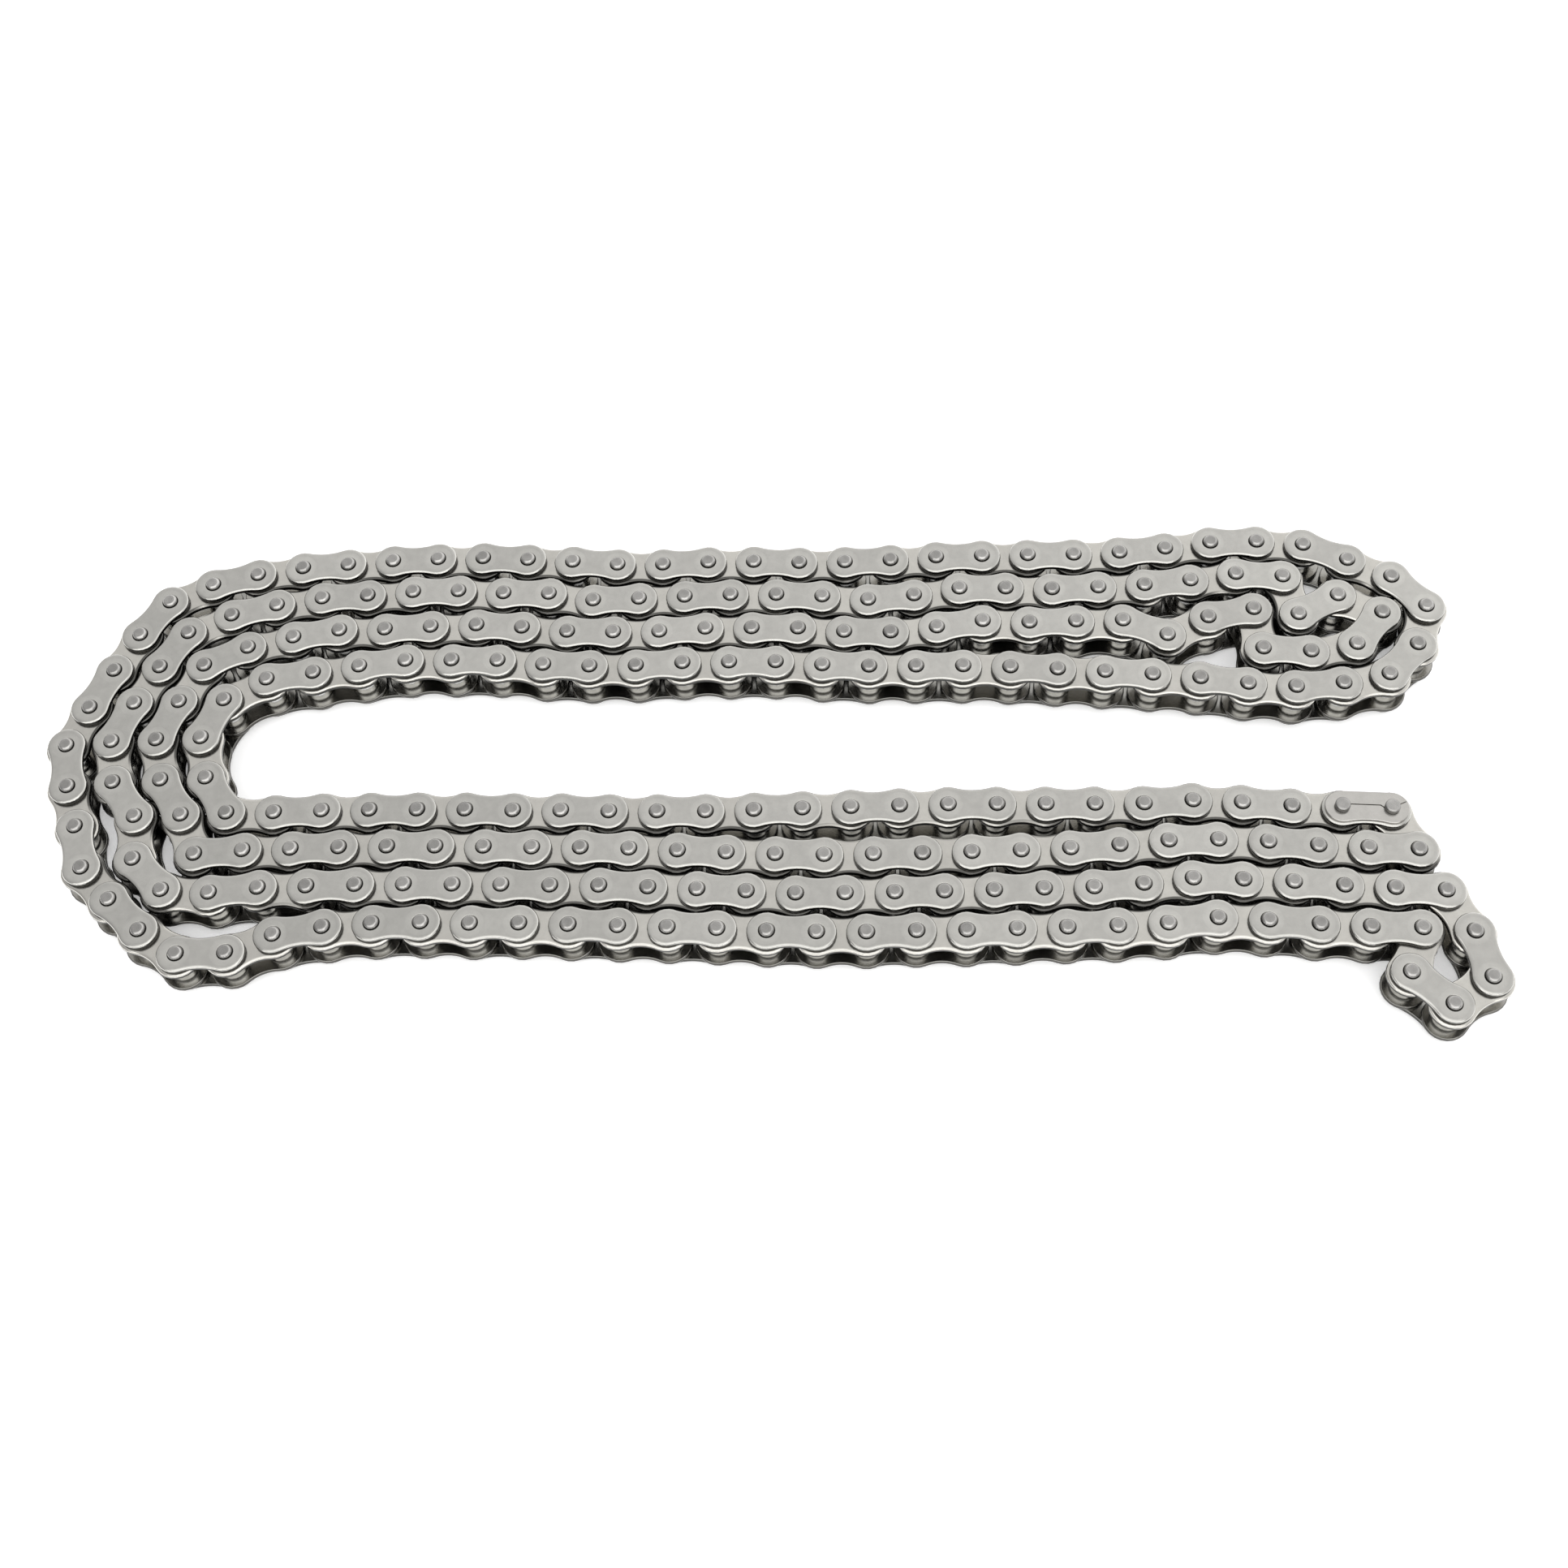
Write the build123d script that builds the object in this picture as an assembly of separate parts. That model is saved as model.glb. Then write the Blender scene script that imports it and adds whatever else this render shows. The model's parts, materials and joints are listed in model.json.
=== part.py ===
from build123d import *
import math
import os

import numpy as np

# Drive chain: one endless roller chain of half-inch pitch, laid flat in eight nested rows
# with its pins upright. Millimetres, +X along the rows, +Z up, pins standing on z = 0.

# ---- chain dimensions -------------------------------------------------------------------
PITCH = 12.7
LINK_ENDS = 240                 # pins in the loop: 120 outer links and 120 inner links
PIN_R = 1.98
PIN_END_CHAMFER = 0.25
PIN_PROUD = 1.05                # how far a pin stands out of the outer plate
BUSH_R = 2.75
BUSH_BORE_R = 2.03              # 0.05 mm running clearance on the pin
ROLLER_R = 3.885
ROLLER_BORE_R = 2.80            # 0.05 mm running clearance on the bush
ROLLER_LENGTH = 6.2
INNER_WIDTH = 6.35              # between the inner plates
PLATE_T = 1.5
SIDE_GAP = 0.1                  # between an inner and an outer plate
OUTER_R, OUTER_WAIST = 5.2, 4.25
INNER_R, INNER_WAIST = 6.0, 4.75
RIM_CHAMFER = 0.3

# ---- heights ----------------------------------------------------------------------------
Z_OUTER_LOW = PIN_PROUD
Z_INNER_LOW = Z_OUTER_LOW + PLATE_T + SIDE_GAP
Z_GAP_LOW = Z_INNER_LOW + PLATE_T
Z_INNER_TOP = Z_GAP_LOW + INNER_WIDTH
Z_OUTER_TOP = Z_INNER_TOP + PLATE_T + SIDE_GAP
Z_OUTER_FACE = Z_OUTER_TOP + PLATE_T
PIN_LENGTH = Z_OUTER_FACE + PIN_PROUD
BUSH_LENGTH = INNER_WIDTH + 2 * PLATE_T
Z_ROLLER = Z_GAP_LOW + (INNER_WIDTH - ROLLER_LENGTH) / 2

# ---- connecting link ----------------------------------------------------------------------
CLIP_T = 0.8
CLIP_LIFT = 0.02                # between the clip and the cover plate
CLIP_R = 4.45                   # rounded ends of the spring clip
CLIP_WAIST = 3.75               # half width at the waist of its lower side
CLIP_HOLE_R = 1.56
CLIP_SLIT = 0.3                 # width of the split between the two legs
CLIP_SPLIT = [(6.35, -0.6), (-3.4, -0.6), (-4.7, 0.3), (-6.35, 0), (-11.5, -2.6)]
CLIP_RIM = 0.15
GROOVE_R = 1.5
GROOVE_H = 0.9
CONNECTING_PIN_LENGTH = 15.9
COVER_HOLE_R = 2.02

# ---- lay: roughly where chosen pins stand on the table, in whole millimetres ----------------
# Pin 0 is the right-hand pin of the connecting link. The pins are numbered along the chain.
# The places are chosen by hand at the ends and kinks of the rows and round the bends.
LAY = [
    # row with the connecting link, from right to left, and the innermost bend on the left
    (0, 165, -16), (4, 114, -13), (9, 51, -13), (14, -13, -15), (23, -127, -15),
    (24, -140, -15), (25, -147, -5), (26, -150, 8), (27, -146, 20), (28, -135, 26),
    # row to the right, and the wide bend round the right end
    (31, -97, 32), (38, -8, 32), (44, 68, 29), (50, 144, 24), (51, 157, 25),
    (52, 169, 27), (53, 180, 35), (54, 182, 48), (55, 173, 57), (56, 162, 62), (57, 150, 68),
    # back row, from right to left, and the outermost bend on the left
    (59, 125, 68), (61, 100, 65), (65, 49, 64), (69, -2, 62), (72, -40, 62), (75, -78, 66),
    (79, -129, 62), (81, -154, 57), (82, -165, 51), (83, -172, 40), (86, -185, 5),
    (88, -179, -20), (89, -177, -32), (91, -157, -49), (92, -147, -57), (93, -134, -56),
    (94, -123, -50),
    # front row, from left to right, and the small loop at its end
    (96, -97, -46), (104, 4, -49), (108, 55, -49), (112, 106, -47), (114, 131, -45),
    (117, 169, -48), (118, 165, -60), (119, 174, -69), (120, 185, -62), (121, 181, -50),
    # second row, from right to left, and the third bend on the left
    (122, 176, -38), (126, 125, -34), (129, 87, -37), (135, 12, -39), (139, -39, -36),
    (144, -103, -36), (148, -154, -37), (149, -163, -28), (150, -164, -16), (151, -172, -6),
    (152, -174, 7), (154, -164, 30), (155, -158, 41), (156, -147, 47),
    # second row from the back, to the right, and the fold at its end
    (158, -122, 53), (160, -96, 55), (163, -58, 53), (164, -46, 50), (167, -8, 52),
    (170, 30, 50), (172, 55, 54), (175, 93, 54), (178, 130, 58), (179, 143, 57), (180, 147, 46),
    (181, 159, 50), (182, 170, 45), (183, 163, 35), (184, 150, 34), (185, 137, 34), (186, 135, 47),
    # third row from the back, from right to left, and the second bend on the left
    (187, 122, 44), (188, 111, 40), (189, 99, 44), (192, 61, 44), (194, 36, 40), (197, -2, 42),
    (200, -40, 40), (203, -78, 43), (207, -129, 41), (209, -152, 30), (211, -162, 8),
    (212, -158, -5), (213, -151, -15), (214, -147, -27),
    # third row, to the right, back to the connecting link
    (219, -83, -25), (223, -32, -26), (227, 19, -28), (231, 69, -27), (235, 120, -23),
    (239, 171, -28),
]
REST_GAP = 0.12                 # between plates that lie still beside each other
MOVING_GAP = 0.36               # between plates of links that move apart
SETTLE_STEPS = 900

# ---- moving links -------------------------------------------------------------------------
# Two ends of the lay can sway. Each is held by two strands of three links that stay parallel:
# the links of one strand are exact shifted copies of the other strand's links.
NECK_STRANDS = ((4, 3, 2, 1), (235, 236, 237, 238))
TAIL_STRANDS = ((126, 125, 124, 123), (113, 114, 115, 116))
NECK_END = (0, 239, 238)        # links named by their lower-numbered pin; 239 joins pin 239 to 0
TAIL_END = (116, 117, 118, 119, 120, 121, 122)


def strand_links(pins):
    """The three links of a strand, each named by its lower-numbered pin."""
    return [min(a, b) for a, b in zip(pins, pins[1:])]


def plate_circles(end_r, waist):
    """Circles that fill a plate's outline: positions along it from 0 to 1, and radii."""
    half = PITCH / 2
    neck_r = (half**2 + waist**2 - end_r**2) / (2 * (end_r - waist))
    where = np.array([-1, -0.72, -0.36, 0, 0.36, 0.72, 1]) * half
    radius = np.sqrt(where**2 + (waist + neck_r) ** 2) - neck_r
    radius[[0, -1]] = end_r
    return (where / half + 1) / 2, radius


def first_guess():
    """Pins between two LAY entries are spaced evenly on the line between them."""
    number = [n for n, _, _ in LAY] + [LINK_ENDS]
    x = [x for _, x, _ in LAY] + [LAY[0][1]]
    y = [y for _, _, y in LAY] + [LAY[0][2]]
    every = np.arange(LINK_ENDS)
    return np.c_[np.interp(every, number, x), np.interp(every, number, y)]


def spread_plates(pins, links, where, radius, gap, close):
    """Move pins so that the plates of one layer stop overlapping their near neighbours."""
    ends = (links + 1) % LINK_ENDS
    centre = pins[links][:, None] * (1 - where)[None, :, None]
    centre = (centre + pins[ends][:, None] * where[None, :, None]).reshape(-1, 2)
    if close is None:
        apart = np.linalg.norm(centre[:, None] - centre[None], axis=2)
        owner = np.repeat(np.arange(len(links)), len(where))
        close = np.nonzero((apart < 15) & (owner[:, None] < owner[None]))
    i, j = close
    size = len(where)
    step = centre[i] - centre[j]
    length = np.linalg.norm(step, axis=1)
    spare = np.maximum(gap[links[i // size]], gap[links[j // size]])
    need = radius[i % size] + radius[j % size] + spare
    bad = length < need
    i, j, step, length, need = i[bad], j[bad], step[bad], length[bad], need[bad]
    push = step * (0.5 * (need - length) / length)[:, None]
    move = np.zeros_like(pins)
    hits = np.zeros(len(pins))
    for which, sign in ((i, 1), (j, -1)):
        share = where[which % size][:, None]
        scale = sign / (share**2 + (1 - share) ** 2)
        np.add.at(move, links[which // size], scale * (1 - share) * push)
        np.add.at(move, ends[which // size], scale * share * push)
        np.add.at(hits, links[which // size], 1)
        np.add.at(hits, ends[which // size], 1)
    pins += 1.3 * move / np.maximum(hits, 1)[:, None]
    return close


def keep_strands_parallel(pins):
    """Make the second strand of each pair an exact shifted copy of the first."""
    for first, second in (NECK_STRANDS, TAIL_STRANDS):
        offset = pins[list(second)] - pins[list(first)]
        error = (offset - offset.mean(0)) / 2
        pins[list(first)] += error
        pins[list(second)] -= error


def keep_pitch(pins, links):
    """Set the distance between the two pins of each link to the pitch."""
    ends = (links + 1) % LINK_ENDS
    step = pins[ends] - pins[links]
    length = np.linalg.norm(step, axis=1)[:, None]
    step *= 0.5 * (length - PITCH) / length
    pins[links] += step
    pins[ends] -= step


def settle():
    """Pin centres of the closed chain at rest, centred on the origin."""
    target = first_guess()
    pins = target.copy()
    outer = np.arange(0, LINK_ENDS, 2)
    inner = np.arange(1, LINK_ENDS, 2)
    layers = (
        (outer, *plate_circles(OUTER_R, OUTER_WAIST)),
        (inner, *plate_circles(INNER_R, INNER_WAIST)),
    )
    gap = np.full(LINK_ENDS, REST_GAP)
    moving = [*NECK_END, *TAIL_END]
    for strand in (*NECK_STRANDS, *TAIL_STRANDS):
        moving += strand_links(strand)
    gap[moving] = MOVING_GAP
    close = [None, None]
    for step in range(SETTLE_STEPS):
        pins += 0.15 * max(0, 1 - step / (0.7 * SETTLE_STEPS)) * (target - pins)
        for k, (links, where, radius) in enumerate(layers):
            near = None if step % 25 == 0 else close[k]
            close[k] = spread_plates(pins, links, where, radius, gap, near)
        keep_strands_parallel(pins)
        for _ in range(6):
            keep_pitch(pins, outer)
            keep_pitch(pins, inner)
    for _ in range(400):
        keep_strands_parallel(pins)
        keep_pitch(pins, outer)
        keep_pitch(pins, inner)
    return pins - (pins.min(0) + pins.max(0)) / 2


PINS = settle()


def at_pin(shape, pin, z):
    x, y = PINS[pin]
    return shape.moved(Location((float(x), float(y), z)))


def at_link(shape, link, z):
    """Place a shape drawn along +X about the origin onto a link."""
    a, b = PINS[link], PINS[(link + 1) % LINK_ENDS]
    mid = (a + b) / 2
    turn = math.degrees(math.atan2(b[1] - a[1], b[0] - a[0]))
    return shape.moved(Location((float(mid[0]), float(mid[1]), z), (0, 0, turn)))


# ---- prototypes, drawn about the origin with the link along +X ---------------------------
def plate_outline(end_r, waist):
    """Figure-eight outline: two round ends joined by hollow arcs."""
    half = PITCH / 2
    neck_r = (half**2 + waist**2 - end_r**2) / (2 * (end_r - waist))
    reach = end_r / (end_r + neck_r)
    x, y = half * (1 - reach), (waist + neck_r) * reach
    return make_face(
        [
            ThreePointArc((-x, y), (0, waist), (x, y)),
            ThreePointArc((x, y), (half + end_r, 0), (x, -y)),
            ThreePointArc((x, -y), (0, -waist), (-x, -y)),
            ThreePointArc((-x, -y), (-half - end_r, 0), (-x, y)),
        ]
    )


def chamfered_prism(outline, height, edge):
    """An outline raised to a height, with its upper rim chamfered."""
    solid = extrude(outline, height)
    rim = solid.edges().filter_by_position(Axis.Z, height - 0.01, height + 0.01)
    return chamfer(rim, edge)


def link_plate(end_r, waist, hole_r):
    """A link plate from z = 0 to PLATE_T with its outer face up and the rim chamfered there."""
    solid = chamfered_prism(plate_outline(end_r, waist), PLATE_T, RIM_CHAMFER)
    for x in (-PITCH / 2, PITCH / 2):
        solid -= Pos(x, 0, PLATE_T / 2) * Cylinder(hole_r, 2 * PLATE_T)
    return solid


def turned_over(plate):
    """The same plate with its outer face down."""
    return plate.rotate(Axis.X, 180).moved(Location((0, 0, PLATE_T)))


def tube(outer_r, bore_r, length, edge=0):
    """A turned tube standing on z = 0, its outer edges broken by a chamfer if edge is given."""
    base = (Align.CENTER, Align.CENTER, Align.MIN)
    body = Cylinder(outer_r, length, align=base)
    if edge:
        body = chamfer(body.edges().filter_by(GeomType.CIRCLE), edge)
    return body - Cylinder(bore_r, length, align=base)


def riveted_pin():
    base = (Align.CENTER, Align.CENTER, Align.MIN)
    body = Cylinder(PIN_R, PIN_LENGTH, align=base)
    return chamfer(body.edges().filter_by(GeomType.CIRCLE), PIN_END_CHAMFER)


def grooved_pin():
    """Connecting-link pin with a groove for the spring clip near its free end."""
    base = (Align.CENTER, Align.CENTER, Align.MIN)
    body = Cylinder(PIN_R, CONNECTING_PIN_LENGTH, align=base)
    body = chamfer(body.edges().filter_by(GeomType.CIRCLE), PIN_END_CHAMFER)
    ring = Cylinder(PIN_R + 1, GROOVE_H, align=base) - Cylinder(GROOVE_R, GROOVE_H, align=base)
    return body - Pos(0, 0, Z_OUTER_FACE) * ring


def spring_clip():
    """Flat spring clip, closed round the pin at +X and split from there to its open end at -X."""
    half = PITCH / 2
    neck_r = (half**2 + CLIP_WAIST**2 - CLIP_R**2) / (2 * (CLIP_R - CLIP_WAIST))
    reach = CLIP_R / (CLIP_R + neck_r)
    x, y = half * (1 - reach), (CLIP_WAIST + neck_r) * reach
    outline = make_face(
        [
            Line((-half, -CLIP_R), (half, -CLIP_R)),
            ThreePointArc((half, -CLIP_R), (half + CLIP_R, 0), (x, y)),
            ThreePointArc((x, y), (0, CLIP_WAIST), (-x, y)),
            ThreePointArc((-x, y), (-half - CLIP_R, 0), (-half, -CLIP_R)),
        ]
    )
    clip = chamfered_prism(outline, CLIP_T, CLIP_RIM)
    for (x0, y0), (x1, y1) in zip(CLIP_SPLIT, CLIP_SPLIT[1:]):
        length = math.hypot(x1 - x0, y1 - y0) + CLIP_SLIT
        slope = math.degrees(math.atan2(y1 - y0, x1 - x0))
        middle = Location(((x0 + x1) / 2, (y0 + y1) / 2, CLIP_T / 2), (0, 0, slope))
        clip -= Box(length, CLIP_SLIT, 2 * CLIP_T).moved(middle)
    for x in (-half, half):
        clip -= Pos(x, 0, CLIP_T / 2) * Cylinder(CLIP_HOLE_R, 2 * CLIP_T)
    return clip


OUTER_UP = link_plate(OUTER_R, OUTER_WAIST, PIN_R)
OUTER_DOWN = turned_over(OUTER_UP)
INNER_UP = link_plate(INNER_R, INNER_WAIST, BUSH_R)
INNER_DOWN = turned_over(INNER_UP)
COVER = link_plate(OUTER_R, OUTER_WAIST, COVER_HOLE_R)
BUSH = tube(BUSH_R, BUSH_BORE_R, BUSH_LENGTH)
ROLLER = tube(ROLLER_R, ROLLER_BORE_R, ROLLER_LENGTH, 0.2)
PIN = riveted_pin()
GROOVED_PIN = grooved_pin()
CLIP = spring_clip()


# ---- pieces of a set of links ------------------------------------------------------------
def link_pins(links):
    return [p for link in links for p in (link, (link + 1) % LINK_ENDS)]


def outer_top(links):
    return [at_link(OUTER_UP, link, Z_OUTER_TOP) for link in links]


def outer_low(links):
    return [at_link(OUTER_DOWN, link, Z_OUTER_LOW) for link in links]


def inner_top(links):
    return [at_link(INNER_UP, link, Z_INNER_TOP) for link in links]


def inner_low(links):
    return [at_link(INNER_DOWN, link, Z_INNER_LOW) for link in links]


def pins_of(links):
    return [at_pin(PIN, pin, 0) for pin in link_pins(links)]


def bushes_of(links):
    return [at_pin(BUSH, pin, Z_INNER_LOW) for pin in link_pins(links)]


def rollers_of(links):
    return [at_pin(ROLLER, pin, Z_ROLLER) for pin in link_pins(links)]


def save(name, shapes):
    shape = shapes[0] if len(shapes) == 1 else Compound(shapes)
    export_step(shape, f"parts/{name}.step")


def save_outer_link(name, links):
    save(f"{name}_plates", outer_top(links) + outer_low(links))
    save(f"{name}_pins", pins_of(links))


def save_inner_link(name, links, split_rollers=False):
    save(f"{name}_plates", inner_top(links) + inner_low(links))
    save(f"{name}_bushes", bushes_of(links))
    if split_rollers:
        for k, roller in enumerate(rollers_of(links), 1):
            save(f"{name}_roller_{k}", [roller])
    else:
        save(f"{name}_rollers", rollers_of(links))


os.makedirs("parts", exist_ok=True)

# Moving strands: links 1 and 3 of each strand are inner links, link 2 is an outer link.
moving_links = {*NECK_END, *TAIL_END}
strands = {
    "neck_a": NECK_STRANDS[0],
    "neck_b": NECK_STRANDS[1],
    "tail_a": TAIL_STRANDS[0],
    "tail_b": TAIL_STRANDS[1],
}
for name, pins in strands.items():
    first, second, third = strand_links(pins)
    split = name == "neck_a"
    save_inner_link(f"{name}1", [first], split)
    save_outer_link(f"{name}2", [second])
    save_inner_link(f"{name}3", [third], split)
    moving_links.update((first, second, third))

# The end that carries the connecting link.
save_outer_link("neck_end_outer", [238])
save_inner_link("neck_end_inner", [239], True)
save("connecting_base_plate", [at_link(OUTER_DOWN, 0, Z_OUTER_LOW)])
save("connecting_pins", [at_pin(GROOVED_PIN, pin, 0) for pin in (0, 1)])
save("connecting_cover_plate", [at_link(COVER, 0, Z_OUTER_TOP)])
save("spring_clip", [at_link(CLIP, 0, Z_OUTER_FACE + CLIP_LIFT)])

# The looped tail.
save_outer_link("tail_end_outer", [n for n in TAIL_END if n % 2 == 0])
save_inner_link("tail_end_inner", [n for n in TAIL_END if n % 2 == 1])

# The rest of the chain, which keeps its lay.
still = [n for n in range(LINK_ENDS) if n not in moving_links]
still_outer = [n for n in still if n % 2 == 0]
still_inner = [n for n in still if n % 2 == 1]
save("lay_outer_plates_top", outer_top(still_outer))
save("lay_outer_plates_bottom", outer_low(still_outer))
save("lay_pins", pins_of(still_outer))
save("lay_inner_plates_top", inner_top(still_inner))
save("lay_inner_plates_bottom", inner_low(still_inner))
save("lay_bushes", bushes_of(still_inner))
save("lay_rollers", rollers_of(still_inner))
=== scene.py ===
import json
import math

import bpy
import numpy as np
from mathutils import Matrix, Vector
from mathutils.geometry import tessellate_polygon


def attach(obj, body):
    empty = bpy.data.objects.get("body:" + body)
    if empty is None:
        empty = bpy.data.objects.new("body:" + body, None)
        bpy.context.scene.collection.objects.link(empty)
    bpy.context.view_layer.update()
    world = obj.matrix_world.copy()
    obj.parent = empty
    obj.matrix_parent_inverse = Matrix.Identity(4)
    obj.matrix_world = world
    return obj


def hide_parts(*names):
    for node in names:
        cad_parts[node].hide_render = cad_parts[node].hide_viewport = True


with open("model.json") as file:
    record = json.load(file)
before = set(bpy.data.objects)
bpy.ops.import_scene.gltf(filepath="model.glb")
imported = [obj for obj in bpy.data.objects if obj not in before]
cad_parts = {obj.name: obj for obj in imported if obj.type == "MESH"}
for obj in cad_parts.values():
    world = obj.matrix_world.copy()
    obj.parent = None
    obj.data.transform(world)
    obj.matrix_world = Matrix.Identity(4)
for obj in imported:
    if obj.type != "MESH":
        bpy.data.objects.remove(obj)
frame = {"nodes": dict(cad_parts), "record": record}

# Looks of the drive chain. Every CAD node but the spring clip gets one detailed mesh that holds
# a copy of a prototype for each of the node's solids. Sizes are in millimetres until a mesh is
# made.

# ---- sizes --------------------------------------------------------------------------------
MM = 0.001
HALF = 6.35                     # half the pitch: a link's pins stand at -HALF and HALF
PLATE_T = 1.5
OUTER = (5.2, 4.25)             # an outer plate's end radius and half width at its waist
INNER = (6.0, 4.75)
OUTER_COIN_R = 3.85             # coined zone round each hole
INNER_COIN_R = 4.5
PIN_R = 1.98
PIN_FACE_R = 1.46               # flat middle of a peened pin end
PIN_LENGTH = 14.65
BUSH_R = 2.75
BUSH_BORE_R = 2.03
BUSH_LENGTH = 9.35
ROLLER_R = 3.885
ROLLER_BORE_R = 2.8
ROLLER_LENGTH = 6.2
CONNECTING_PIN_LENGTH = 15.9
COVER_HOLE_R = 2.02
COVER_FACE = 13.6               # top of the cover plate, where the clip's groove starts
MIDDLE = 7.0                    # a plate that starts below this height is a lower plate
HOLE_SIDES = 20                 # segments round a hole, and round a riveted pin
TUBE_SIDES = 24
GROOVED_SIDES = 32
TEXTURE_SPREAD = 400            # each piece reads its texture from a place of its own

# ---- painted shade and highlight: what a piece's colour is multiplied by ------------------
WALL_SHADE = 0.07                     # painted shade on the sheared wall of a plate
LOWER_SHADE_SHARE = 0.8                # share of the painted shade and highlight that the lower plates keep
LOWER_PAINTED_SHADE = 0.75               # painted shade: the lower plates face into the chain and catch less light
SHADE = 0.15                    # rim of an inner plate right beside another row
CROWDED, FREE = 8.5, 10.5       # distances from another row's pins: in its shade, and clear of it
NEARBY = 30.0                   # pins further away than this are not looked at

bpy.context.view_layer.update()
rng = np.random.default_rng(420)


# ---- where each solid of a node is ------------------------------------------------------
def solids_of(node):
    """Centre, direction in the plan and lowest height of each separate solid, in millimetres."""
    mesh = frame["nodes"][node].data
    mesh.calc_loop_triangles()
    co = np.empty(3 * len(mesh.vertices))
    mesh.vertices.foreach_get("co", co)
    co = co.reshape(-1, 3) / MM
    tris = np.empty(3 * len(mesh.loop_triangles), np.int32)
    mesh.loop_triangles.foreach_get("vertices", tris)
    tris = tris.reshape(-1, 3)
    _, same = np.unique(np.round(co * 1000).astype(np.int64), axis=0, return_inverse=True)
    joined = same.reshape(-1)[tris]
    label = np.arange(joined.max() + 1)
    while True:
        lower = label.copy()
        np.minimum.at(lower, joined.ravel(), np.repeat(label[joined].min(1), 3))
        lower = lower[lower]
        if (lower == label).all():
            break
        label = lower
    owner = label[joined[:, 0]]
    found = []
    for k in np.unique(owner):
        corners = co[tris[owner == k]]
        lo, hi = corners.reshape(-1, 3).min(0), corners.reshape(-1, 3).max(0)
        centre = (lo + hi) / 2
        flat = (corners - centre)[:, :, :2]
        edge = corners[:, 1:] - corners[:, :1]
        area = np.linalg.norm(np.cross(edge[:, 0], edge[:, 1]), axis=1) / 2
        middle = flat.mean(1)
        spread = np.einsum("t,tij,tik->jk", area / 12, flat, flat)
        spread += np.einsum("t,ti,tj->ij", area * 9 / 12, middle, middle)
        angle = 0.5 * math.atan2(2 * spread[0, 1], spread[0, 0] - spread[1, 1])
        found.append((centre[0], centre[1], angle, lo[2]))
    return found


# ---- prototypes -------------------------------------------------------------------------
class Shape:
    """Vertices with their normals, painted shade and highlight and whether it is a rim, and
    faces.
    """

    def __init__(self):
        self.verts = []
        self.normals = []
        self.shade_and_sheen = []
        self.rim = []
        self.faces = []

    def ring(self, points, normals, shade_and_sheen=1.0, rim=0.0):
        start = len(self.verts)
        self.verts += [tuple(p) for p in points]
        self.normals += [tuple(n) for n in normals]
        self.shade_and_sheen += [shade_and_sheen] * len(points)
        self.rim += [rim] * len(points)
        return list(range(start, start + len(points)))

    def join(self, a, b):
        n = len(a)
        for i in range(n):
            j = (i + 1) % n
            self.faces.append((a[i], a[j], b[j], b[i]))

    def fill(self, loops, up):
        points = [[Vector(self.verts[i]) for i in loop] for loop in loops]
        flat = [i for loop in loops for i in loop]
        for tri in tessellate_polygon(points):
            a, b, c = (np.array(self.verts[flat[i]]) for i in tri)
            turn = (b - a)[0] * (c - a)[1] - (b - a)[1] * (c - a)[0]
            ids = [flat[i] for i in tri]
            self.faces.append(tuple(ids if (turn > 0) == up else ids[::-1]))

    def arrays(self):
        lists = (self.verts, self.normals, self.shade_and_sheen, self.rim)
        return (*map(np.array, lists), self.faces)


def outline(end_r, waist, inset, ends=16, hollow=8):
    """Points of a figure-eight outline moved in by inset, and its outward normals."""
    neck_r = (HALF**2 + waist**2 - end_r**2) / (2 * (end_r - waist))
    high_y = waist + neck_r
    reach = math.atan2(high_y, -HALF)
    points, normals = [], []
    for side in (1, -1):
        for t in np.linspace(-reach, reach, ends):
            n = np.array([math.cos(t), math.sin(t)]) * side
            points.append(n * (end_r - inset) + (side * HALF, 0))
            normals.append(n)
        start = reach - math.pi
        for t in np.linspace(start, -math.pi - start, hollow + 2)[1:-1]:
            n = np.array([math.cos(t), math.sin(t)])
            points.append(((0, high_y) + n * (neck_r + inset)) * side)
            normals.append(-n * side)
    return np.array(points), np.array(normals)


def circle(x, r, z, slope, n=HOLE_SIDES):
    """A ring round an upright axis at x; slope is its normals' outward and upward share."""
    t = np.linspace(0, 2 * math.pi, n, endpoint=False)
    out = np.c_[np.cos(t), np.sin(t)]
    points = np.c_[out * r + (x, 0), np.full(n, z)]
    normals = np.c_[out * slope[0], np.full(n, slope[1])]
    return points, normals


def slopes(profile):
    """Unit normal (outward, up) at each point of a profile of (outward, up) points."""
    p = np.array(profile, float)
    step = np.gradient(p, axis=0)
    n = np.c_[-step[:, 1], step[:, 0]]
    return n / np.linalg.norm(n, axis=1)[:, None]


# Inset from the outline, height against the face, and painted shade and highlight. The rim is
# rolled and slightly crowned, and brightened as a painted highlight. The sheared wall below it is
# left rough, and darkened as painted shade.
RIM = [
    (0.95, 0.0, 1.0), (0.62, -0.015, 1.0), (0.38, -0.07, 1.1), (0.21, -0.19, 1.5),
    (0.09, -0.35, 1.5), (0.03, -0.51, 0.4), (0.01, -0.63, WALL_SHADE),
]
BACK_RIM = [(0.01, 0.42, WALL_SHADE), (0.05, 0.2, WALL_SHADE), (0.18, 0.05, 0.5), (0.4, 0.0, 1.0)]


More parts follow.
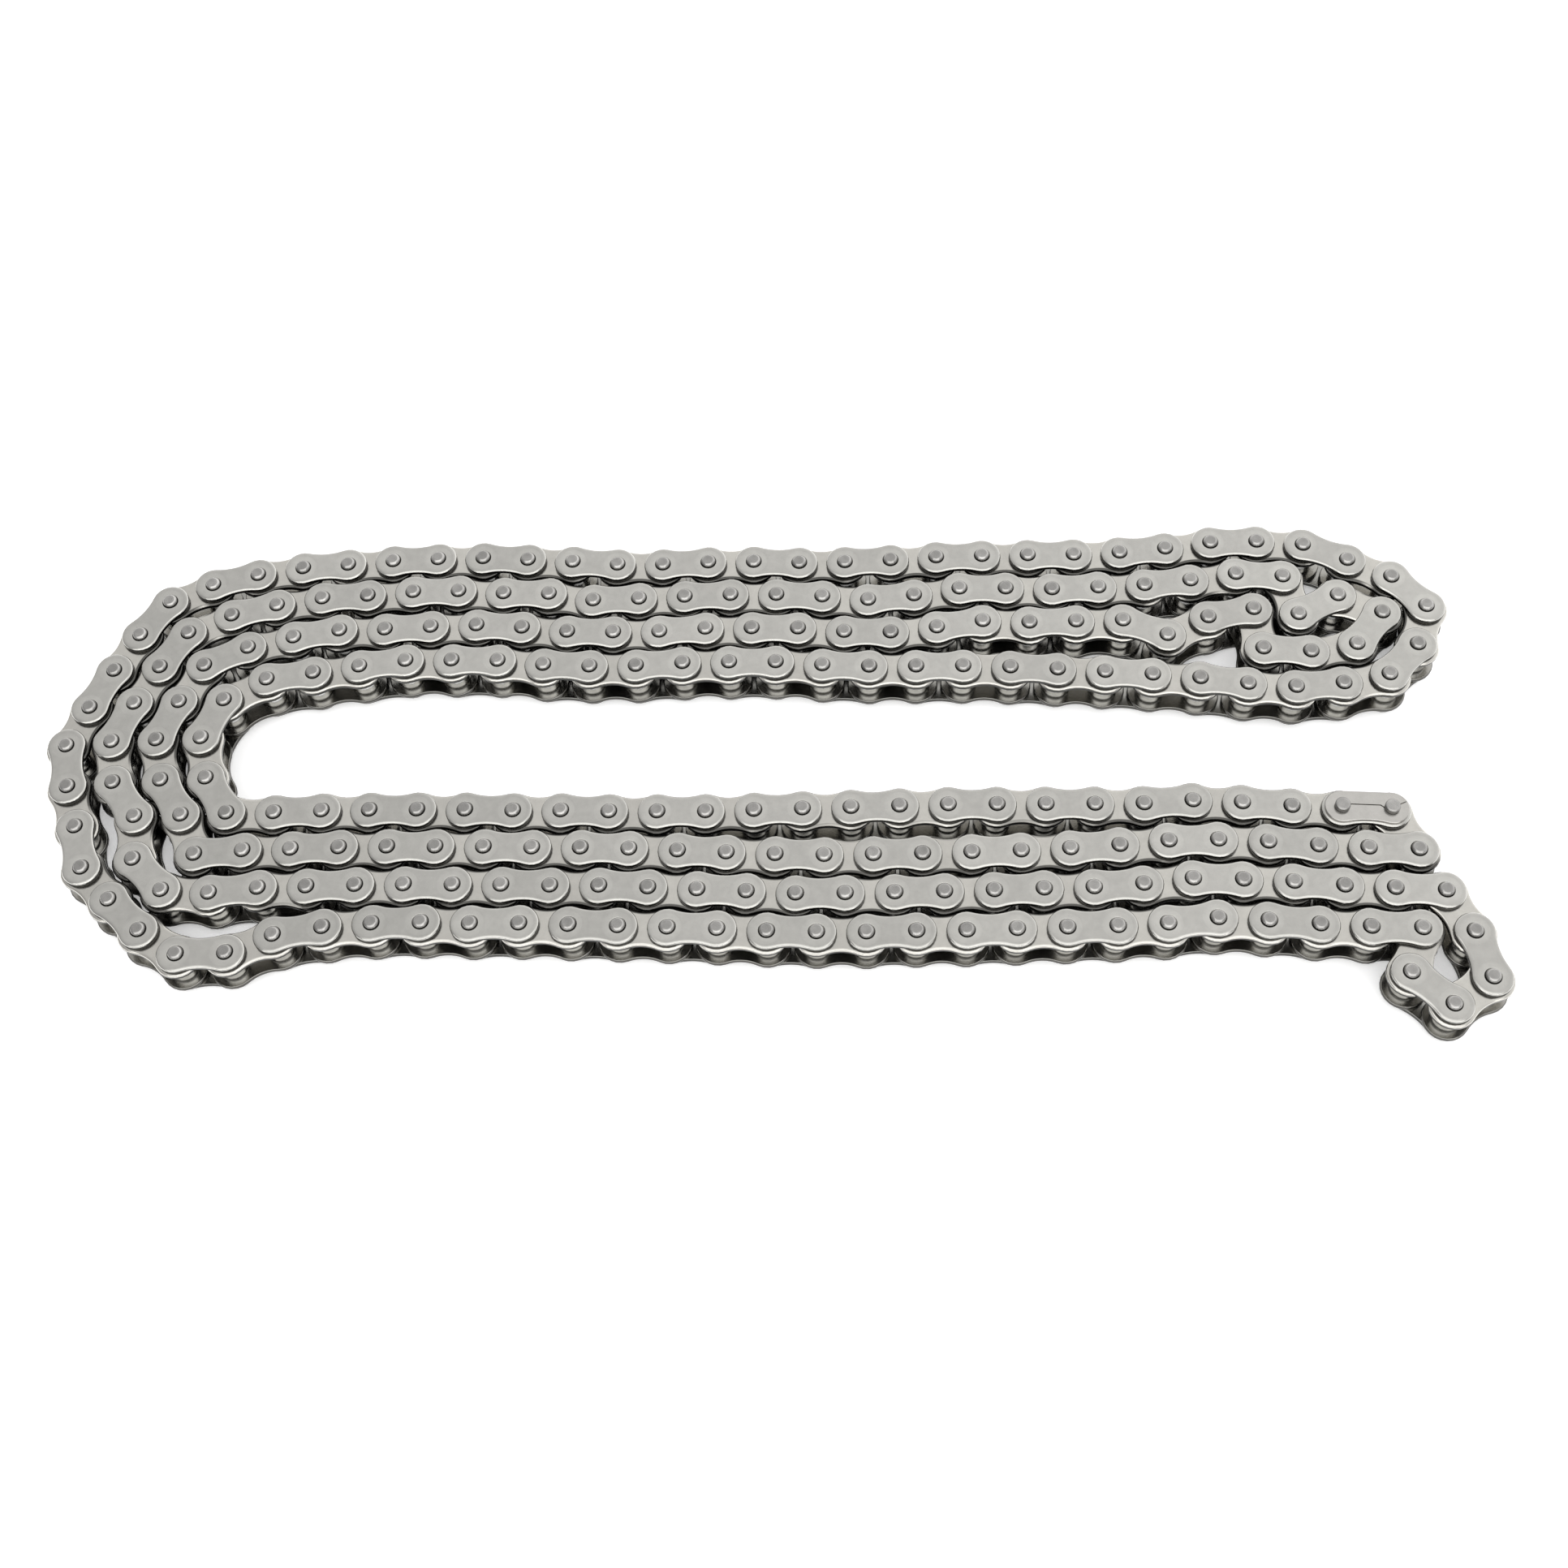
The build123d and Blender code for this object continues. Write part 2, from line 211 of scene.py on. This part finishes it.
def link_plate(size, hole_r, coin_r):
    """A stamped plate with its outer face up: rolled rim and a coined zone round each hole."""
    end_r, waist = size
    shape = Shape()
    profile = [(-inset, PLATE_T + z) for inset, z, _ in RIM]
    profile += [(-inset, z) for inset, z, _ in BACK_RIM]
    grades = [shade_and_sheen for _, _, shade_and_sheen in RIM + BACK_RIM]
    lean = slopes(profile)
    lean[0], lean[-1] = (0, 1), (0, -1)
    rings = []
    for (out, z), (ln, lz), shade_and_sheen in zip(profile, lean, grades):
        rim = float(out > -RIM[0][0])
        points, normals = outline(end_r, waist, -out)
        rings.append(
            shape.ring(
                np.c_[points, np.full(len(points), z)],
                np.c_[normals * ln, np.full(len(points), lz)],
                shade_and_sheen,
                rim,
            )
        )
    for a, b in zip(rings, rings[1:]):
        shape.join(b, a)
    top_loops, back_loops = [rings[0]], [rings[-1]]
    t = PLATE_T
    zone = [
        (coin_r + 0.22, t), (coin_r, t - 0.012), (coin_r - 0.22, t - 0.024),
        (hole_r + 0.4, t - 0.024), (hole_r + 0.24, t - 0.045), (hole_r + 0.11, t - 0.13),
        (hole_r, t - 0.35), (hole_r, 0.1), (hole_r + 0.12, 0.0),
    ]
    # A little lighter towards the hole, and painted shade down the hole's wall.
    zone_shading = (1, 1.02, 1.05, 1.12, 1, 0.75, 0.45, WALL_SHADE, 1)
    zone_lean = -slopes(zone)
    zone_lean[0], zone_lean[2], zone_lean[3], zone_lean[-1] = (0, 1), (0, 1), (0, 1), (0, -1)
    for x in (-HALF, HALF):
        loops = []
        for (r, z), (ln, lz), shade_and_sheen in zip(zone, zone_lean, zone_shading):
            lz = lz if z > 0.05 else -1
            loops.append(shape.ring(*circle(x, r, z, (ln if z > 0.05 else 0, lz)), shade_and_sheen))
        for a, b in zip(loops, loops[1:]):
            shape.join(a, b)
        top_loops.append(loops[0])
        back_loops.append(loops[-1])
    shape.fill(top_loops, True)
    shape.fill(back_loops, False)
    return shape.arrays()


def lathe(profile, n, closed=False, shade_and_sheen=None):
    """A turned piece from (radius, height) points, from the lower axis to the upper one."""
    shade_and_sheen = shade_and_sheen or [1.0] * len(profile)
    shape = Shape()
    lean = -slopes(profile)
    if closed:
        p = np.array(profile, float)
        step = np.roll(p, -1, 0) - np.roll(p, 1, 0)
        lean = np.c_[step[:, 1], -step[:, 0]]
        lean /= np.linalg.norm(lean, axis=1)[:, None]
    rings = [
        shape.ring(*circle(0, r, z, tuple(ln), n), grade)
        for (r, z), ln, grade in zip(profile, lean, shade_and_sheen)
    ]
    for a, b in zip(rings, rings[1:]):
        shape.join(a, b)
    if closed:
        shape.join(rings[-1], rings[0])
    else:
        shape.faces.append(tuple(rings[0][::-1]))
        shape.faces.append(tuple(rings[-1]))
    return shape.arrays()


def pin_end(z, up):
    """Half profile of a peened pin end, from the shank to the flat middle."""
    s = 1 if up else -1
    points = [
        (PIN_R, z - s * 1.3), (PIN_R, z - s * 0.95), (PIN_R + 0.03, z - s * 0.78),
        (PIN_R, z - s * 0.62), (PIN_R - 0.14, z - s * 0.4), (1.66, z - s * 0.2),
        (PIN_FACE_R, z - s * 0.06), (PIN_FACE_R - 0.2, z), (0.7, z - s * 0.02),
    ]
    return points if up else points[::-1]


# The shank is darkened as painted shade, the chamfer brightened as a painted highlight and the
# flat middle a little darker.
PIN_SHADING = [0.4, 0.4, 0.5, 0.8, 1.1, 1.3, 1.1, 0.82, 0.78]


def riveted_pin(length):
    """Pin with both ends peened."""
    profile = pin_end(0, False) + pin_end(length, True)
    return lathe(profile, HOLE_SIDES, shade_and_sheen=PIN_SHADING[::-1] + PIN_SHADING)


def grooved_pin(length, face):
    """Connecting pin: peened below, with a clip groove and a crowned free end above."""
    free = [
        (PIN_R, face - 0.1), (PIN_R, face), (1.5, face), (1.5, face + 0.9), (PIN_R, face + 0.9),
        (PIN_R, face + 1.0), (PIN_R, length - 0.5), (1.93, length - 0.28), (1.78, length - 0.1),
        (1.5, length - 0.02), (1.2, length), (0.6, length),
    ]
    # The clip groove and the shank above it are darkened as painted shade, lightening towards the
    # free end.
    shade_and_sheen = PIN_SHADING[::-1] + [0.3] * 5 + [0.4, 0.6, 0.9] + [1.0] * 4
    return lathe(pin_end(0, False) + free, GROOVED_SIDES, shade_and_sheen=shade_and_sheen)


def tube(outer_r, bore_r, length, edge, middle=1.0, band=1.0):
    """A turned tube with rolled edges, darkened as painted shade at its middle, in a band at each
    edge and in its bore.
    """
    e = edge
    half = [
        (bore_r, e, 0.5), (bore_r + e, 0, 0.8), (outer_r - e, 0, 0.8),
        (outer_r - 0.3 * e, 0.3 * e, 0.5), (outer_r, 1.4 * e, band),
        (outer_r, 2.6 * e, (1 + band) / 2), (outer_r, 3.4 * e, 1.0),
        (outer_r, length * 0.33, (1 + middle) / 2),
    ]
    rest = [(r, length - z, shade_and_sheen) for r, z, shade_and_sheen in half[::-1]]
    points = half + [(outer_r, length / 2, middle)] + rest + [(bore_r, length / 2, 0.5)]
    profile = [(r, z) for r, z, _ in points]
    return lathe(profile, TUBE_SIDES, closed=True, shade_and_sheen=[grade for _, _, grade in points])


def flipped(shape):
    """The same plate turned upside down about its long axis, in the lower plates' painted shade.
    """
    verts, normals, shade_and_sheen, rim, faces = shape
    turn = np.array([1, -1, -1])
    shade_and_sheen = LOWER_PAINTED_SHADE * (1 - (1 - shade_and_sheen) * LOWER_SHADE_SHARE)
    return verts * turn + (0, 0, PLATE_T), normals * turn, shade_and_sheen, rim, faces


# ---- materials --------------------------------------------------------------------------
def metal(name, colour, rough, rough_spread, bump, stretch, tint=0.05, mottle=0.05, own=True):
    """Plated or ground steel: tone varies from piece to piece, with clouds and fine scratches.

    The grain follows stretch, in cycles per millimetre. tint is how much pieces differ and mottle
    how much one piece does. A CAD mesh that shows as it is has none of the attributes that build
    gives a piece: own is False for it.
    """
    mat = bpy.data.materials.new(name)
    mat.use_nodes = True
    nodes, links = mat.node_tree.nodes, mat.node_tree.links
    shader = nodes["Principled BSDF"]
    shader.inputs["Metallic"].default_value = 1.0
    if own:
        local = nodes.new("ShaderNodeAttribute")
        local.attribute_name = "local"
    else:
        place = nodes.new("ShaderNodeTexCoord")
        local = nodes.new("ShaderNodeVectorMath")
        local.operation = "MULTIPLY"
        local.inputs[1].default_value = (1 / MM, 1 / MM, 1 / MM)
        links.new(place.outputs["Object"], local.inputs[0])
    clouds = nodes.new("ShaderNodeTexNoise")
    clouds.inputs["Scale"].default_value = 0.35
    clouds.inputs["Detail"].default_value = 5
    clouds.inputs["Roughness"].default_value = 0.6
    links.new(local.outputs["Vector"], clouds.inputs["Vector"])
    scale = nodes.new("ShaderNodeVectorMath")
    scale.operation = "MULTIPLY"
    scale.inputs[1].default_value = stretch
    links.new(local.outputs["Vector"], scale.inputs[0])
    grain = nodes.new("ShaderNodeTexNoise")
    grain.inputs["Scale"].default_value = 1.0
    grain.inputs["Detail"].default_value = 6
    grain.inputs["Roughness"].default_value = 0.65
    links.new(scale.outputs["Vector"], grain.inputs["Vector"])
    ramp = nodes.new("ShaderNodeValToRGB")
    dark = [c * (1 - mottle) for c in colour]
    light = [min(1, c * (1 + mottle)) for c in colour]
    ramp.color_ramp.elements[0].position = 0.32
    ramp.color_ramp.elements[0].color = (*dark, 1)
    ramp.color_ramp.elements[1].position = 0.68
    ramp.color_ramp.elements[1].color = (*light, 1)
    links.new(clouds.outputs["Fac"], ramp.inputs["Fac"])
    if own:
        tone = nodes.new("ShaderNodeAttribute")
        tone.attribute_name = "tone"
        vary = nodes.new("ShaderNodeMapRange")
        vary.inputs["To Min"].default_value = 1 - tint
        vary.inputs["To Max"].default_value = 1 + tint
        links.new(tone.outputs["Fac"], vary.inputs["Value"])
        # The base colour is multiplied by the painted shade and highlight that build gives each
        # vertex.
        shade_and_sheen = nodes.new("ShaderNodeAttribute")
        shade_and_sheen.attribute_name = "shade_and_sheen"
        level = nodes.new("ShaderNodeMath")
        level.operation = "MULTIPLY"
        links.new(vary.outputs["Result"], level.inputs[0])
        links.new(shade_and_sheen.outputs["Fac"], level.inputs[1])
        shade = nodes.new("ShaderNodeVectorMath")
        shade.operation = "SCALE"
        links.new(ramp.outputs["Color"], shade.inputs[0])
        links.new(level.outputs["Value"], shade.inputs["Scale"])
        links.new(shade.outputs["Vector"], shader.inputs["Base Color"])
    else:
        links.new(ramp.outputs["Color"], shader.inputs["Base Color"])
    worn = nodes.new("ShaderNodeMapRange")
    worn.inputs["From Min"].default_value = 0.3
    worn.inputs["From Max"].default_value = 0.7
    worn.inputs["To Min"].default_value = rough - rough_spread
    worn.inputs["To Max"].default_value = rough + rough_spread
    links.new(grain.outputs["Fac"], worn.inputs["Value"])
    links.new(worn.outputs["Result"], shader.inputs["Roughness"])
    relief = nodes.new("ShaderNodeBump")
    relief.inputs["Strength"].default_value = bump
    relief.inputs["Distance"].default_value = 0.00002
    links.new(grain.outputs["Fac"], relief.inputs["Height"])
    links.new(relief.outputs["Normal"], shader.inputs["Normal"])
    return mat


MATERIALS = {
    "outer_plate": metal("satin_nickel_outer", (0.41, 0.403, 0.379), 0.2, 0.04, 0.25, (2, 9, 9)),
    "inner_plate": metal("satin_nickel_inner", (0.46, 0.447, 0.414), 0.2, 0.04, 0.25, (2, 9, 9)),
    "pin": metal("peened_steel", (0.36, 0.352, 0.338), 0.26, 0.07, 0.6, (6, 6, 6), 0.1, 0.12),
    "bush": metal("ground_steel", (0.36, 0.36, 0.35), 0.3, 0.06, 0.4, (3, 3, 12)),
    "roller": metal("polished_steel", (0.66, 0.66, 0.645), 0.12, 0.04, 0.2, (2, 2, 14)),
    "spring_clip": metal(
        "spring_steel", (0.43, 0.418, 0.395), 0.22, 0.04, 0.3, (2, 9, 9), own=False
    ),
}


# ---- pieces -----------------------------------------------------------------------------
slot_of = {s["node"]: s["material_slot"] for s in frame["record"]["subparts"]}
pin_places = [
    solid[:2] for node, slot in slot_of.items() if slot == "pin" for solid in solids_of(node)
]
pin_places = np.array(pin_places)


def crowding(points, x, y, angle):
    """From 1 in the open to SHADE where another row of the chain lies close to a point."""
    along = np.array([math.cos(angle), math.sin(angle)]) * HALF
    own = [np.linalg.norm(pin_places - (x, y) - along * side, axis=1) for side in (-1, 1)]
    near = np.minimum(*own)
    same_strand = (near < HALF) | (abs(near - 2 * HALF) < 0.02)     # its own, or one pitch on
    others = pin_places[~same_strand & (near < NEARBY)]
    if not len(others):
        return np.ones(len(points))
    gap = np.linalg.norm(points[:, None] - others[None], axis=2).min(1)
    return SHADE + (1 - SHADE) * np.clip((gap - CROWDED) / (FREE - CROWDED), 0, 1)


def build(name, slot_name, placed):
    """One mesh from [(prototype, x, y, angle, z)], with the attributes that its metal reads."""
    verts, normals, faces, local, tone, shade_and_sheen = [], [], [], [], [], []
    start = 0
    for (v, n, grade, rim, f), x, y, angle, z in placed:
        c, s = math.cos(angle), math.sin(angle)
        turn = np.array([[c, s, 0], [-s, c, 0], [0, 0, 1]])
        at = v @ turn + (x, y, z)
        if slot_name == "inner_plate":
            grade = grade * (1 + rim * (crowding(at[:, :2], x, y, angle) - 1))
        verts.append(at)
        normals.append(n @ turn)
        local.append(v + rng.uniform(-TEXTURE_SPREAD, TEXTURE_SPREAD, 3))
        tone.append(np.full(len(v), rng.random()))
        shade_and_sheen.append(grade)
        faces += [tuple(i + start for i in face) for face in f]
        start += len(v)
    mesh = bpy.data.meshes.new(name)
    mesh.from_pydata((np.vstack(verts) * MM).tolist(), [], faces)
    mesh.polygons.foreach_set("use_smooth", np.ones(len(faces), bool))
    where = mesh.attributes.new("local", "FLOAT_VECTOR", "POINT")
    where.data.foreach_set("vector", np.vstack(local).astype(np.float32).ravel())
    for label, values in (("tone", tone), ("shade_and_sheen", shade_and_sheen)):
        grade = mesh.attributes.new(label, "FLOAT", "POINT")
        grade.data.foreach_set("value", np.concatenate(values).astype(np.float32))
    mesh.normals_split_custom_set_from_vertices(np.vstack(normals).tolist())
    mesh.materials.append(MATERIALS[slot_name])
    obj = bpy.data.objects.new(name, mesh)
    bpy.context.scene.collection.objects.link(obj)
    return obj


OUTER_UP = link_plate(OUTER, PIN_R, OUTER_COIN_R)
INNER_UP = link_plate(INNER, BUSH_R, INNER_COIN_R)
OUTER_DOWN, INNER_DOWN = flipped(OUTER_UP), flipped(INNER_UP)
COVER = link_plate(OUTER, COVER_HOLE_R, OUTER_COIN_R)
BUSH = tube(BUSH_R, BUSH_BORE_R, BUSH_LENGTH, 0.12)
# Painted reflection: dark bands near each edge of a roller, and its middle a little darker.
ROLLER = tube(ROLLER_R, ROLLER_BORE_R, ROLLER_LENGTH, 0.35, middle=0.9, band=0.3)
PIN = riveted_pin(PIN_LENGTH)
GROOVED_PIN = grooved_pin(CONNECTING_PIN_LENGTH, COVER_FACE)


def prototype(node, slot_name, base):
    """The detailed piece that stands for one solid of a node."""
    lower = base < MIDDLE
    if node == "connecting_cover_plate":
        return COVER
    if node == "connecting_pins":
        return GROOVED_PIN
    if slot_name == "outer_plate":
        return OUTER_DOWN if lower else OUTER_UP
    if slot_name == "inner_plate":
        return INNER_DOWN if lower else INNER_UP
    return {"pin": PIN, "bush": BUSH, "roller": ROLLER}[slot_name]


for body, members in frame["record"]["behaviour"]["bodies"].items():
    for node in members:
        slot_name = slot_of[node]
        if slot_name == "spring_clip":
            continue
        placed = []
        for x, y, angle, base in solids_of(node):
            if slot_name in ("pin", "bush", "roller"):
                angle = rng.uniform(0, 2 * math.pi)
            placed.append((prototype(node, slot_name, base), x, y, angle, base))
        piece = build(node + ".look", slot_name, placed)
        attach(piece, body)
        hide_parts(node)

clip = frame["nodes"]["spring_clip"]
clip.data.materials.clear()
clip.data.materials.append(MATERIALS["spring_clip"])
soften = clip.modifiers.new("soft edges", "BEVEL")
soften.width = 0.08 * MM
soften.segments = 2
soften.limit_method = "ANGLE"

# ---- floor, light and camera --------------------------------------------------------------
bpy.ops.mesh.primitive_plane_add(size=40, location=(0, 0, -0.0002))
floor = bpy.context.object
floor.name = "floor"
pale = bpy.data.materials.new("pale_floor")
pale.use_nodes = True
paint = pale.node_tree.nodes["Principled BSDF"].inputs
paint["Base Color"].default_value = (0.96, 0.96, 0.96, 1)
paint["Roughness"].default_value = 0.9
paint["Emission Color"].default_value = (1, 1, 1, 1)
paint["Emission Strength"].default_value = 0.32
floor.data.materials.append(pale)


def softbox(name, place, size, watts):
    """A rectangular light that faces the middle of the chain."""
    light = bpy.data.lights.new(name, "AREA")
    light.shape = "RECTANGLE"
    light.size, light.size_y = size
    light.energy = watts
    lamp = bpy.data.objects.new(name, light)
    lamp.location = place
    lamp.rotation_euler = (-Vector(place)).to_track_quat("-Z", "Y").to_euler()
    bpy.context.scene.collection.objects.link(lamp)


softbox("softbox_top", (0.0, -0.15, 1.2), (1.2, 0.7), 2.6)
softbox("softbox_front", (0.0, -0.8, 1.1), (2.4, 0.7), 6.5)
softbox("front_strip", (0.0, -1.15, 0.6), (2.4, 0.3), 4.5)

# The sky is paler towards the zenith and the back, and a little stronger on the right.
world = bpy.data.worlds.new("studio")
bpy.context.scene.world = world
world.use_nodes = True
nodes, links = world.node_tree.nodes, world.node_tree.links
way = nodes.new("ShaderNodeTexCoord")
height = nodes.new("ShaderNodeVectorMath")
height.operation = "DOT_PRODUCT"
height.inputs[1].default_value = (0, 0.35, 1)
sky = nodes.new("ShaderNodeValToRGB")
stops = sky.color_ramp.elements
stops[0].position, stops[0].color = 0.0, (0.62, 0.62, 0.62, 1)
stops[1].position, stops[1].color = 1.0, (1.0, 1.0, 1.0, 1)
for place, grey in ((0.18, 0.55), (0.36, 0.7), (0.55, 1.0)):
    stop = stops.new(place)
    stop.color = (grey, grey, grey * 1.01, 1)
links.new(way.outputs["Generated"], height.inputs[0])
links.new(height.outputs["Value"], sky.inputs["Fac"])
side = nodes.new("ShaderNodeVectorMath")
side.operation = "DOT_PRODUCT"
side.inputs[1].default_value = (0.45, 0.55, 0)
links.new(way.outputs["Generated"], side.inputs[0])
slant = nodes.new("ShaderNodeMath")
slant.operation = "ADD"
slant.inputs[1].default_value = 0.9
links.new(side.outputs["Value"], slant.inputs[0])
least = nodes.new("ShaderNodeMath")
least.operation = "MAXIMUM"
least.inputs[1].default_value = 0.65
links.new(slant.outputs["Value"], least.inputs[0])
links.new(sky.outputs["Color"], nodes["Background"].inputs["Color"])
links.new(least.outputs["Value"], nodes["Background"].inputs["Strength"])

camera_data = bpy.data.cameras.new("camera")
camera_data.lens = 49.5
camera_data.sensor_width = 36
camera = bpy.data.objects.new("camera", camera_data)
camera.location = (0.0328, -0.2765, 0.5121)
camera.rotation_euler = (math.radians(28.39), math.radians(2.22), math.radians(1.04))
bpy.context.scene.collection.objects.link(camera)
bpy.context.scene.camera = camera
bpy.context.scene.view_settings.view_transform = "Standard"
